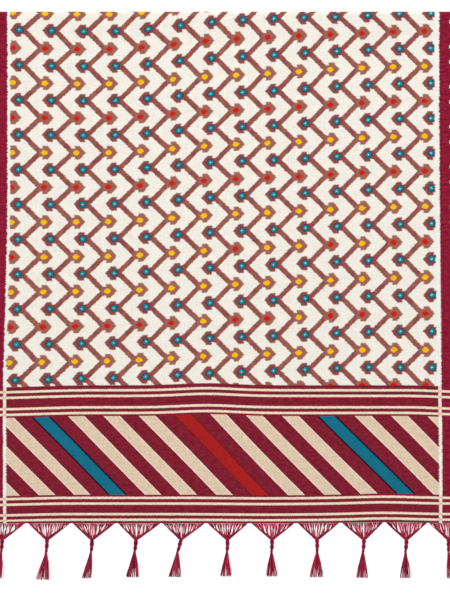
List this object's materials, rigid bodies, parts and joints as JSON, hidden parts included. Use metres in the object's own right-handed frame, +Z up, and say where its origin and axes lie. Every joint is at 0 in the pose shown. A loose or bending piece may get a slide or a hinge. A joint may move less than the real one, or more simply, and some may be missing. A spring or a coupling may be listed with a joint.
{
  "type": "dupatta",
  "caption": "Long cotton shawl folded in half and laid flat, with zigzag ikat, plain side borders, a striped end band and a fringe of twisted tassels.",
  "frame": {"origin": "middle of the footprint, on the surface the cloth lies on", "axes": "+Z up out of the cloth, +Y towards the fold, -Y towards the fringe, +X to the right seen from above with the fringe nearest"},
  "size_m": [0.98, 1.1378, 0.007],
  "materials": {
    "ikat_cloth": "matt plain-weave cotton",
    "under_cloth": "matt plain-weave cotton",
    "fringe_yarn": "matt loose cotton yarn"
  },
  "bodies": {
    "root": {"cloth_front": "ikat_cloth", "cloth_under": "under_cloth", "tassel_01": "fringe_yarn", "tassel_02": "fringe_yarn", "tassel_03": "fringe_yarn", "tassel_04": "fringe_yarn", "tassel_05": "fringe_yarn", "tassel_06": "fringe_yarn", "tassel_07": "fringe_yarn", "tassel_08": "fringe_yarn", "tassel_09": "fringe_yarn", "tassel_10": "fringe_yarn", "tassel_11": "fringe_yarn"}
  },
  "joints": []
}
